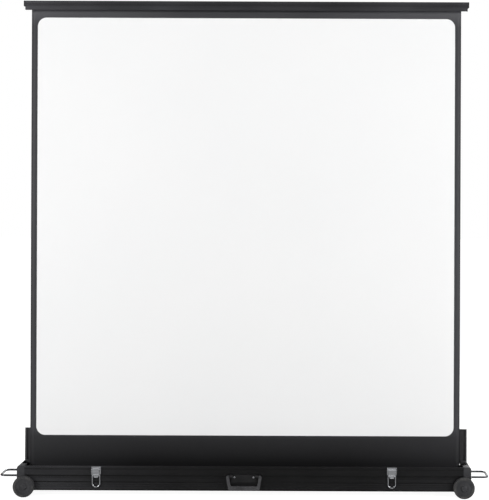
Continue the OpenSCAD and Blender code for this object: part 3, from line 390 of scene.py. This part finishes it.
# Place along the length in metres, and the tone there: painted light, lightest at the left end
CASE_ENDS_PAINTED_LIGHT = ((-1.06, 0.98), (-0.9, 0.88), (-0.57, 0.37), (-0.3, 0.23), (0.1, 0.13), (0.55, 0.14),
             (0.9, 0.34), (1.06, 0.45))
BAR_ENDS_PAINTED_LIGHT = ((-1.06, 1.0), (-0.9, 0.8), (-0.7, 0.58), (-0.2, 0.52), (0.5, 0.52), (0.8, 0.56),
            (1.06, 0.75))
# Depth below the bar's top edge in metres, and the tone there: painted shade in a band below the
# edge
BAR_DEPTH = 0.05
BAR_PAINTED_SHADE = ((BAR_DEPTH, 1.0), (0.026, 1.0), (0.022, 0.7), (0.013, 0.7), (0.009, 1.0), (0, 1.0))


def extrusion_black(name, colour, roughness, specular):
    """Coated extrusion: its material, tree and shader, and the tone that ramps can change."""
    material, tree, shader = finish(name, colour, 0.0, roughness, specular)
    lines = pattern(tree, 900, squeeze=(0.004, 1, 1), detail=2)
    rubbed = pattern(tree, 9, squeeze=(0.4, 1, 1))
    tone = around(tree, between(tree, rubbed, 0, 1), colour, 0.8, 1.25)
    tree.links.new(between(tree, rubbed, roughness - 0.05, roughness + 0.08),
                   shader.inputs["Roughness"])
    bump(tree, shader, lines, 0.00006, 0.6)
    return material, tree, shader, tone


case_black, tree, shader, tone = extrusion_black("case_black", (0.031, 0.031, 0.034), 0.38, 0.26)
axes = object_axes(tree)
# Painted light: the coat is lighter towards the case's ends, the left one most
tone = times(tree, tone, graded(tree, axes["X"], CASE_ENDS_PAINTED_LIGHT, -HALF, HALF))
# Painted shade in the panel's grooves, on its front face only
front = between(tree, axes["Y"], 1, 0, *PANEL_FRONT)
panel_low, panel_high = (corner[2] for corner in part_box("case_shell"))
up = between(tree, axes["Z"], 0, 1, panel_low, panel_high)
panel_shade = graded(tree, up, PANEL_PAINTED_SHADE, 0, 1)
tree.links.new(times(tree, tone, panel_shade, front), shader.inputs["Base Color"])
put(case_black, "case_shell", "lid_shell")

bar_black, tree, shader, tone = extrusion_black("bar_black", (0.06, 0.06, 0.066), 0.4, 0.2)
axes = object_axes(tree)
# Painted light towards the bar's ends, then painted shade in a band below its top edge
tone = times(tree, tone, graded(tree, axes["X"], BAR_ENDS_PAINTED_LIGHT, -HALF, HALF))
bar_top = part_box("top_bar")[1][2]
bar_shade = [(bar_top - depth, level) for depth, level in BAR_PAINTED_SHADE]
tone = times(tree, tone, graded(tree, axes["Z"], bar_shade, bar_top - BAR_DEPTH, bar_top))
tree.links.new(tone, shader.inputs["Base Color"])
put(bar_black, "top_bar")

# %% [markdown]
# End caps, hubs, the carry handle and the bar's end plates are moulded nylon. Its mark is a fine
# sandy grain from the mould and a rather high, even roughness. The black differs from part to
# part: deepest on the carry plate and the bar's end plates, lightest on the carry handle.

# %% Black mouldings
CORNERS = ("front_left", "front_right", "rear_left", "rear_right")


def moulded_black(name, colour, roughness, grain=0.0009):
    """Moulded nylon, the grain in metres."""
    material, tree, shader = finish(name, colour, 0.0, roughness, 0.35)
    sand = pattern(tree, 1 / grain, detail=3)
    worn = pattern(tree, 14)
    tree.links.new(around(tree, between(tree, worn, 0, 1), colour, 0.8, 1.3),
                   shader.inputs["Base Color"])
    tree.links.new(between(tree, worn, roughness - 0.06, roughness + 0.06),
                   shader.inputs["Roughness"])
    bump(tree, shader, sand, 0.00012, 0.5)
    return material


put(moulded_black("cap_black", (0.036, 0.036, 0.039), 0.5),
    "end_cap_left", "end_cap_right", "lid_end_left", "lid_end_right")
put(moulded_black("plate_black", (0.006, 0.006, 0.0065), 0.45),
    "carry_plate", "top_bar_end_left", "top_bar_end_right")
put(moulded_black("handle_black", (0.05, 0.05, 0.053), 0.4), "carry_handle")
put(moulded_black("hub_black", (0.034, 0.034, 0.037), 0.5),
    *("hub_" + corner for corner in CORNERS))

# %% [markdown]
# Tyres are matt rubber that has picked up dust. Dust sits unevenly, so a soft noise lifts the
# colour in patches and keeps the surface rough everywhere.

# %% Rubber
rubber, tree, shader = finish("rubber", (0.03, 0.03, 0.031), 0.0, 0.75, 0.3)
dust = pattern(tree, 35, detail=6)
tree.links.new(two_tones(tree, between(tree, dust, 0, 1, 0.4, 0.75), (0.032, 0.032, 0.034),
                         (0.075, 0.073, 0.07)), shader.inputs["Base Color"])
bump(tree, shader, pattern(tree, 700), 0.0002, 0.5)
put(rubber, *("tyre_" + corner for corner in CORNERS))

# %% [markdown]
# Three bright metals: polished chrome on the latches and on the side handles, zinc plate on
# brackets and pins, and brushed aluminium on the arms. The side handles get a darker copy of the
# chrome: painted shade for the dark room that they reflect. What tells the metals apart is
# roughness more than colour. The arms' brushing follows their length, so its pattern is turned by
# each arm's own slope.

# %% Bright metals
ARM_WIDTH = 0.03


def plated(name, colour):
    """Polished plating, a little uneven from handling."""
    material, tree, shader = finish(name, colour, 1.0, 0.16)
    tree.links.new(between(tree, pattern(tree, 60, detail=8), 0.1, 0.26),
                   shader.inputs["Roughness"])
    return material


def brushed(name, turn):
    """Brushed aluminium, its hairs turned by an angle from level."""
    material, tree, shader = finish(name, (0.5, 0.51, 0.53), 1.0, 0.34)
    hairs = pattern(tree, 1400, turn, 3, (0.01, 1, 1))
    tree.links.new(between(tree, hairs, 0.26, 0.46), shader.inputs["Roughness"])
    tree.links.new(two_tones(tree, between(tree, hairs, 0, 1), (0.42, 0.43, 0.45),
                             (0.55, 0.56, 0.58)), shader.inputs["Base Color"])
    bump(tree, shader, hairs, 0.00004, 0.5)
    return material


put(plated("chrome", (0.5, 0.51, 0.53)), "handle_rosettes", "latch_bases", "latch_lever_left",
    "latch_lever_right", "latch_loop_left", "latch_loop_right", "lid_strikes", "panel_screws")
# A darker copy of the chrome: painted shade on the side handles
put(plated("chrome_painted_shade", (0.125, 0.128, 0.134)), "side_handle_left", "side_handle_right")

zinc, tree, shader = finish("zinc", (0.42, 0.43, 0.43), 1.0, 0.4)
spangle = pattern(tree, 160, detail=5)
tree.links.new(two_tones(tree, between(tree, spangle, 0, 1), (0.34, 0.35, 0.36),
                         (0.5, 0.5, 0.49)), shader.inputs["Base Color"])
tree.links.new(between(tree, spangle, 0.3, 0.5), shader.inputs["Roughness"])
put(zinc, "end_frame_left", "end_frame_right", "end_cap_screws", "roller_shaft",
    "fixed_arm_pins", "sliding_arm_pins", "upper_centre_pin", "top_slider_pin", "base_bracket",
    "base_pin", "base_track", "top_bracket", "top_pin", "hinge_case_leaf", "hinge_lid_leaf",
    "hinge_pin")

arm_low, arm_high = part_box("lower_arm_fixed")
arm_slope = math.atan2(arm_high[2] - arm_low[2] - ARM_WIDTH, arm_high[0] - arm_low[0] - ARM_WIDTH)
print("arm slope", round(math.degrees(arm_slope), 2))
put(brushed("arm_rising", arm_slope), "lower_arm_fixed", "upper_arm_sliding")
put(brushed("arm_falling", -arm_slope), "lower_arm_sliding", "upper_arm_fixed")
put(brushed("tube_level", 0), "roller_tube")

# %% [markdown]
# The sliding blocks and the rod in the cloth's hem are natural white plastic, and the spring
# housings and wheel mounts are dark enamelled steel.

# %% Plastics and enamel
acetal, tree, shader = finish("acetal", (0.72, 0.72, 0.69), 0.0, 0.35)
tree.links.new(between(tree, pattern(tree, 80), 0.28, 0.45), shader.inputs["Roughness"])
put(acetal, "base_slider", "top_slider", "fabric_top_rod")

enamel, tree, shader = finish("dark_enamel", (0.03, 0.031, 0.034), 0.0, 0.35, 0.5)
tree.links.new(between(tree, pattern(tree, 50), 0.28, 0.45), shader.inputs["Roughness"])
bump(tree, shader, pattern(tree, 260), 0.0001, 0.3)
put(enamel, "spring_pack", "spring_cartridge", "wheel_mounts", "roller_plugs")

# %% [markdown]
# No real edge is perfectly sharp, and it is the rounded edge that catches the light: it draws the
# fine bright lines along the front panel and round each moulding. A solid model leaves its edges
# sharp, so each visible part is copied, its flat faces are merged, and every edge that turns by
# more than 35 degrees gets a small round. The round stays inside the part, so nothing grows.

# %% Softened edges
SHARP = math.radians(35)
FLAT = math.radians(0.5)
SAME_POINT = 0.00001
# Width of the round in metres, and the parts that have it
EDGE_WIDTHS = {
    0.00025: ("case_shell", "lid_shell", "top_bar", "latch_lever_left", "latch_lever_right"),
    0.0004: ("latch_bases", "carry_handle", "hub_front_left", "hub_front_right", "hub_rear_left",
             "hub_rear_right", "handle_rosettes"),
    0.0006: ("carry_plate", "end_cap_left", "end_cap_right", "lid_end_left", "lid_end_right",
             "top_bar_end_left", "top_bar_end_right", "lower_arm_fixed", "lower_arm_sliding",
             "upper_arm_fixed", "upper_arm_sliding"),
}


def soften(node, width):
    """Replaces a CAD node by a copy of it with its sharp edges rounded."""
    source = frame["nodes"][node]
    bm = bmesh.new()
    bm.from_mesh(source.data)
    bmesh.ops.remove_doubles(bm, verts=bm.verts, dist=SAME_POINT)
    bmesh.ops.dissolve_limit(bm, angle_limit=FLAT, verts=bm.verts, edges=bm.edges)
    piece = new_piece(node + "_soft", bm)
    piece.data.materials.append(source.data.materials[0])
    edge = piece.modifiers.new("edge", "BEVEL")
    edge.width = width
    edge.segments = 2
    edge.limit_method = "ANGLE"
    edge.angle_limit = SHARP
    even = piece.modifiers.new("even", "WEIGHTED_NORMAL")
    even.weight = 80
    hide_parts(node)
    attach(piece, body_of[node])
    return piece


softened = [soften(node, width) for width, nodes in EDGE_WIDTHS.items() for node in nodes]
print("softened", len(softened), "parts")

# %% [markdown]
# The cloth is one sheet of coated fabric: black, with the matt white picture area printed on its
# front. It could be two coloured solids, but a real sheet is never quite flat. Here a fine grid is
# drawn at the cloth's own size and its points are moved forwards and back by a few tenths of a
# millimetre for the long shallow waves of a stretched screen, and a little more where the free
# side edges curl. It gets its thickness afterwards. The white area's outline is worked out from
# the sheet's own map, in metres from the middle of the picture, so it stays on the cloth as this
# folds. The black is painted in more than one tone: the borders are lighter, a painted sheen, and
# the drop under the picture darkens towards the case, painted shade where it goes into the case.

# %% Cloth
PICTURE = 2.0
PICTURE_CORNER = 0.042
PICTURE_BOTTOM = 0.277
PICTURE_EDGE = 0.0006
CLOTH_THICKNESS = 0.0005
CELL = 0.02
WAVE = 0.0004
WAVE_ACROSS = 5.1
WAVE_UP = 2.3
WAVE_DRIFT = 0.6
CURL = 0.0012
CURL_WIDTH = 0.06

cloth_low, cloth_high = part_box("screen_fabric")
cloth_w = cloth_high[0] - cloth_low[0]
cloth_h = cloth_high[2] - cloth_low[2]
cloth_mid_y = (cloth_low[1] + cloth_high[1]) / 2
cloth_mid_z = (cloth_low[2] + cloth_high[2]) / 2
picture_mid = PICTURE_BOTTOM + PICTURE / 2

bm = bmesh.new()
bmesh.ops.create_grid(bm, x_segments=round(cloth_w / CELL), y_segments=round(cloth_h / CELL),
                      size=0.5)
bmesh.ops.scale(bm, vec=(cloth_w, cloth_h, 1), verts=bm.verts)
bmesh.ops.rotate(bm, matrix=Matrix.Rotation(math.radians(90), 3, "X"), verts=bm.verts)
bmesh.ops.translate(bm, vec=(0, cloth_mid_y, cloth_mid_z), verts=bm.verts)
cloth_map = bm.loops.layers.uv.new("cloth")
for face in bm.faces:
    for loop in face.loops:
        loop[cloth_map].uv = (loop.vert.co.x, loop.vert.co.z - picture_mid)
for vert in bm.verts:
    held = math.sin(math.pi * (vert.co.z - cloth_low[2]) / cloth_h)
    edge = max(0.0, 1 - (cloth_w / 2 - abs(vert.co.x)) / CURL_WIDTH)
    wave = math.sin(vert.co.x * WAVE_ACROSS + WAVE_DRIFT * math.sin(vert.co.z * WAVE_UP))
    vert.co.y += held * (WAVE * wave - CURL * edge * edge)
cloth = new_piece("cloth", bm)
print("cloth", round(cloth_w, 3), "by", round(cloth_h, 3), "m")

# %% [markdown]
# Both faces of the sheet get the same black coat, and only the front one the picture. The map's X
# is the distance from the middle line and its Y the height over the picture's middle, so each
# change of tone is a range of one or the other. The drop darkens towards the case: painted shade.
# The borders are lighter than the drop, a painted sheen that spreads a little into the drop's
# sides and is strongest in the two upper corners.

# %% Coat of the cloth
COAT = (0.05, 0.05, 0.052)
# The drop's tones, darkest at its foot: painted shade towards the case
DROP_PAINTED_SHADE = (0.0022, 0.0022, 0.0027)
DROP_HIGH = (0.0155, 0.0155, 0.0172)
DROP_SHADE_RANGE = (-1.13, -1.0)
# The borders are lighter than the drop: a painted sheen
BORDER = (0.037, 0.037, 0.041)
BORDER_FOOT = (-1.02, -0.97)
# How far out, and how much, the drop's sides take on the border's painted sheen
SIDE_SHEEN_RANGE = (0.5, 1.0)
SIDE_SHEEN_SHARE = 0.28
# Painted sheen in the two upper corners, and its range across and up the map
TOP_CORNER_SHEEN = (2.3, 2.3, 2.25)
SHEEN_ACROSS = (0.3, 1.0)
SHEEN_UP = (0.96, 1.02)
WHITE_LOW = (0.885, 0.888, 0.89)
WHITE_HIGH = (0.9, 0.9, 0.9)


def sheet_noise(tree, vector, scale):
    """Noise on the sheet's own map."""
    noise = tree.nodes.new("ShaderNodeTexNoise")
    noise.inputs["Scale"].default_value = scale
    tree.links.new(vector, noise.inputs["Vector"])
    return noise


def sheet_coat(name, picture):
    """Coated cloth: black, with the white picture area on the front face."""
    material, tree, shader = finish(name, COAT, 0.0, 0.6, 0.3)
    sheet = tree.nodes.new("ShaderNodeUVMap")
    sheet.uv_map = "cloth"
    weave = sheet_noise(tree, sheet.outputs[0], 900)
    weave.inputs["Detail"].default_value = 3
    uneven = between(tree, sheet_noise(tree, sheet.outputs[0], 1.3).outputs[0], 0, 1)
    place = tree.nodes.new("ShaderNodeSeparateXYZ")
    tree.links.new(sheet.outputs[0], place.inputs[0])
    height = place.outputs["Y"]
    outwards = combine(tree, "ABSOLUTE", place.outputs["X"])

    # Painted shade: the drop darkens towards the case
    drop_shade = two_tones(tree, between(tree, height, 0, 1, *DROP_SHADE_RANGE), DROP_PAINTED_SHADE, DROP_HIGH)
    tree.links.new(between(tree, height, 0.2, 0.3, *DROP_SHADE_RANGE),
                   shader.inputs["Specular IOR Level"])
    # Painted sheen: the borders are lighter in the two upper corners
    corner = combine(tree, "MULTIPLY", between(tree, outwards, 0, 1, *SHEEN_ACROSS),
                     between(tree, height, 0, 1, *SHEEN_UP))
    border = times(tree, around(tree, uneven, BORDER, 0.9, 1.1),
                   two_tones(tree, corner, (1, 1, 1), TOP_CORNER_SHEEN))
    # The border's tone above the drop, and a share of its painted sheen at the drop's sides
    share = combine(tree, "MAXIMUM", between(tree, outwards, 0, SIDE_SHEEN_SHARE, *SIDE_SHEEN_RANGE),
                    between(tree, height, 0, 1, *BORDER_FOOT))
    coat = mixed(tree, share, drop_shade, border)
    if picture:
        inner = PICTURE / 2 - PICTURE_CORNER
        vector = sheet.outputs[0]
        for operation, other in (("ABSOLUTE", None), ("SUBTRACT", inner), ("MAXIMUM", 0.0)):
            node = tree.nodes.new("ShaderNodeVectorMath")
            node.operation = operation
            if other is not None:
                node.inputs[1].default_value = (other, other, other)
            tree.links.new(vector, node.inputs[0])
            vector = node.outputs[0]
        length = tree.nodes.new("ShaderNodeVectorMath")
        length.operation = "LENGTH"
        tree.links.new(vector, length.inputs[0])
        inside = between(tree, length.outputs["Value"], 1, 0, PICTURE_CORNER - PICTURE_EDGE,
                         PICTURE_CORNER + PICTURE_EDGE)
        coat = mixed(tree, inside, coat, two_tones(tree, uneven, WHITE_LOW, WHITE_HIGH))
        tree.links.new(between(tree, inside, 0.55, 0.85, 0, 1), shader.inputs["Roughness"])
    tree.links.new(coat, shader.inputs["Base Color"])
    bump(tree, shader, weave.outputs[0], 0.00008, 0.4)
    return material


put(sheet_coat("picture_coat", True), cloth)
cloth.data.materials.append(sheet_coat("black_coat", False))
wall = cloth.modifiers.new("thickness", "SOLIDIFY")
wall.thickness = CLOTH_THICKNESS
wall.offset = 0
wall.use_rim = True
wall.material_offset = 1
wall.material_offset_rim = 1
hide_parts("screen_fabric")
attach(cloth, "case")
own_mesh(cloth)

# %% [markdown]
# A few turns of the same cloth stay on the roller when the screen is up. A sleeve would show a
# blank ring at its ends, where a real roll shows a spiral. So one edge along the tube is extruded
# again and again, turned by a few degrees and moved out by a hair each time.

# %% Turns on the roller
TURNS = 2.4
STEP = math.radians(6)
TURN_THICKNESS = 0.00045
TURN_PITCH = TURN_THICKNESS + 0.0001

roll_low, roll_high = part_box("wound_fabric")
centre = Vector((0, (roll_low[1] + roll_high[1]) / 2, (roll_low[2] + roll_high[2]) / 2))
roll_r = (roll_high[2] - roll_low[2]) / 2
start_r = roll_r - TURNS * TURN_PITCH - TURN_THICKNESS / 2

bm = bmesh.new()
ends = [bm.verts.new((x, centre.y + start_r, centre.z)) for x in (roll_low[0], roll_high[0])]
edges = [bm.edges.new(ends)]
for step in range(round(TURNS * 2 * math.pi / STEP)):
    grown = bmesh.ops.extrude_edge_only(bm, edges=edges)["geom"]
    verts = [item for item in grown if isinstance(item, bmesh.types.BMVert)]
    edges = [item for item in grown if isinstance(item, bmesh.types.BMEdge)
             and all(vert in verts for vert in item.verts)]
    bmesh.ops.rotate(bm, cent=centre, matrix=Matrix.Rotation(STEP, 3, "X"), verts=verts)
    for vert in verts:
        arm = vert.co - centre
        arm.x = 0
        vert.co += arm.normalized() * TURN_PITCH * STEP / (2 * math.pi)
turns_map = bm.loops.layers.uv.new("cloth")
for face in bm.faces:
    for loop in face.loops:
        angle = math.atan2(loop.vert.co.z - centre.z, loop.vert.co.y - centre.y)
        loop[turns_map].uv = (loop.vert.co.x, angle * roll_r)
turns = new_piece("cloth_turns", bm)
put(cloth.data.materials[1], turns)
wall = turns.modifiers.new("thickness", "SOLIDIFY")
wall.thickness = TURN_THICKNESS
wall.offset = 0
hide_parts("wound_fabric")
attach(turns, "roller")
print("turns on the roller", TURNS)
